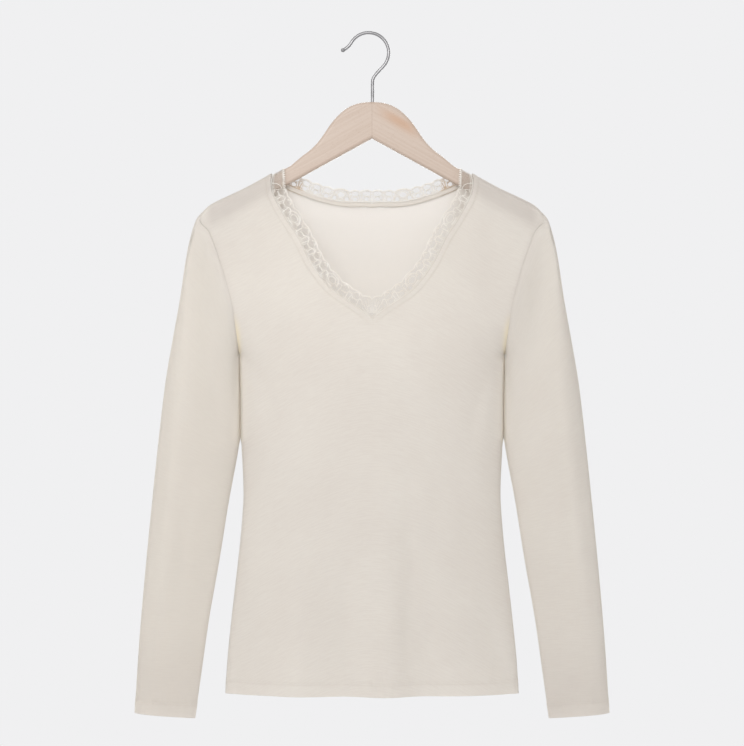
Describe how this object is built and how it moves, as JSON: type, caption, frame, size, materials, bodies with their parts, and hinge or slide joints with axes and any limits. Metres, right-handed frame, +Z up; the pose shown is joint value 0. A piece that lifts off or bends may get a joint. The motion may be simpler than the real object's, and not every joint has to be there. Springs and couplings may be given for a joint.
{
  "type": "thermal base layer top on a clothes hanger",
  "caption": "Long-sleeved cream fine-knit thermal top with a lace-edged V neck, hanging on a wooden clothes hanger with a wire hook",
  "frame": {"origin": "the point of the hook's inside that rests on a rail, over the garment's middle line", "axes": "+Z up, -Y towards the garment's front, +X to the right as seen from the front"},
  "size_m": [0.5698, 0.0923, 0.8244],
  "materials": {
    "knit": "fine cream knit, soft and matt",
    "lace": "cream scalloped lace",
    "wood": "pale beech, satin",
    "steel": "bright steel wire"
  },
  "bodies": {
    "root": {"front": "knit", "back": "knit", "sleeve_right": "knit", "sleeve_left": "knit", "lace_front_right": "lace", "lace_front_left": "lace", "lace_back": "lace", "neck_binding": "knit", "hanger_wood": "wood", "hanger_hook": "steel"}
  },
  "joints": []
}
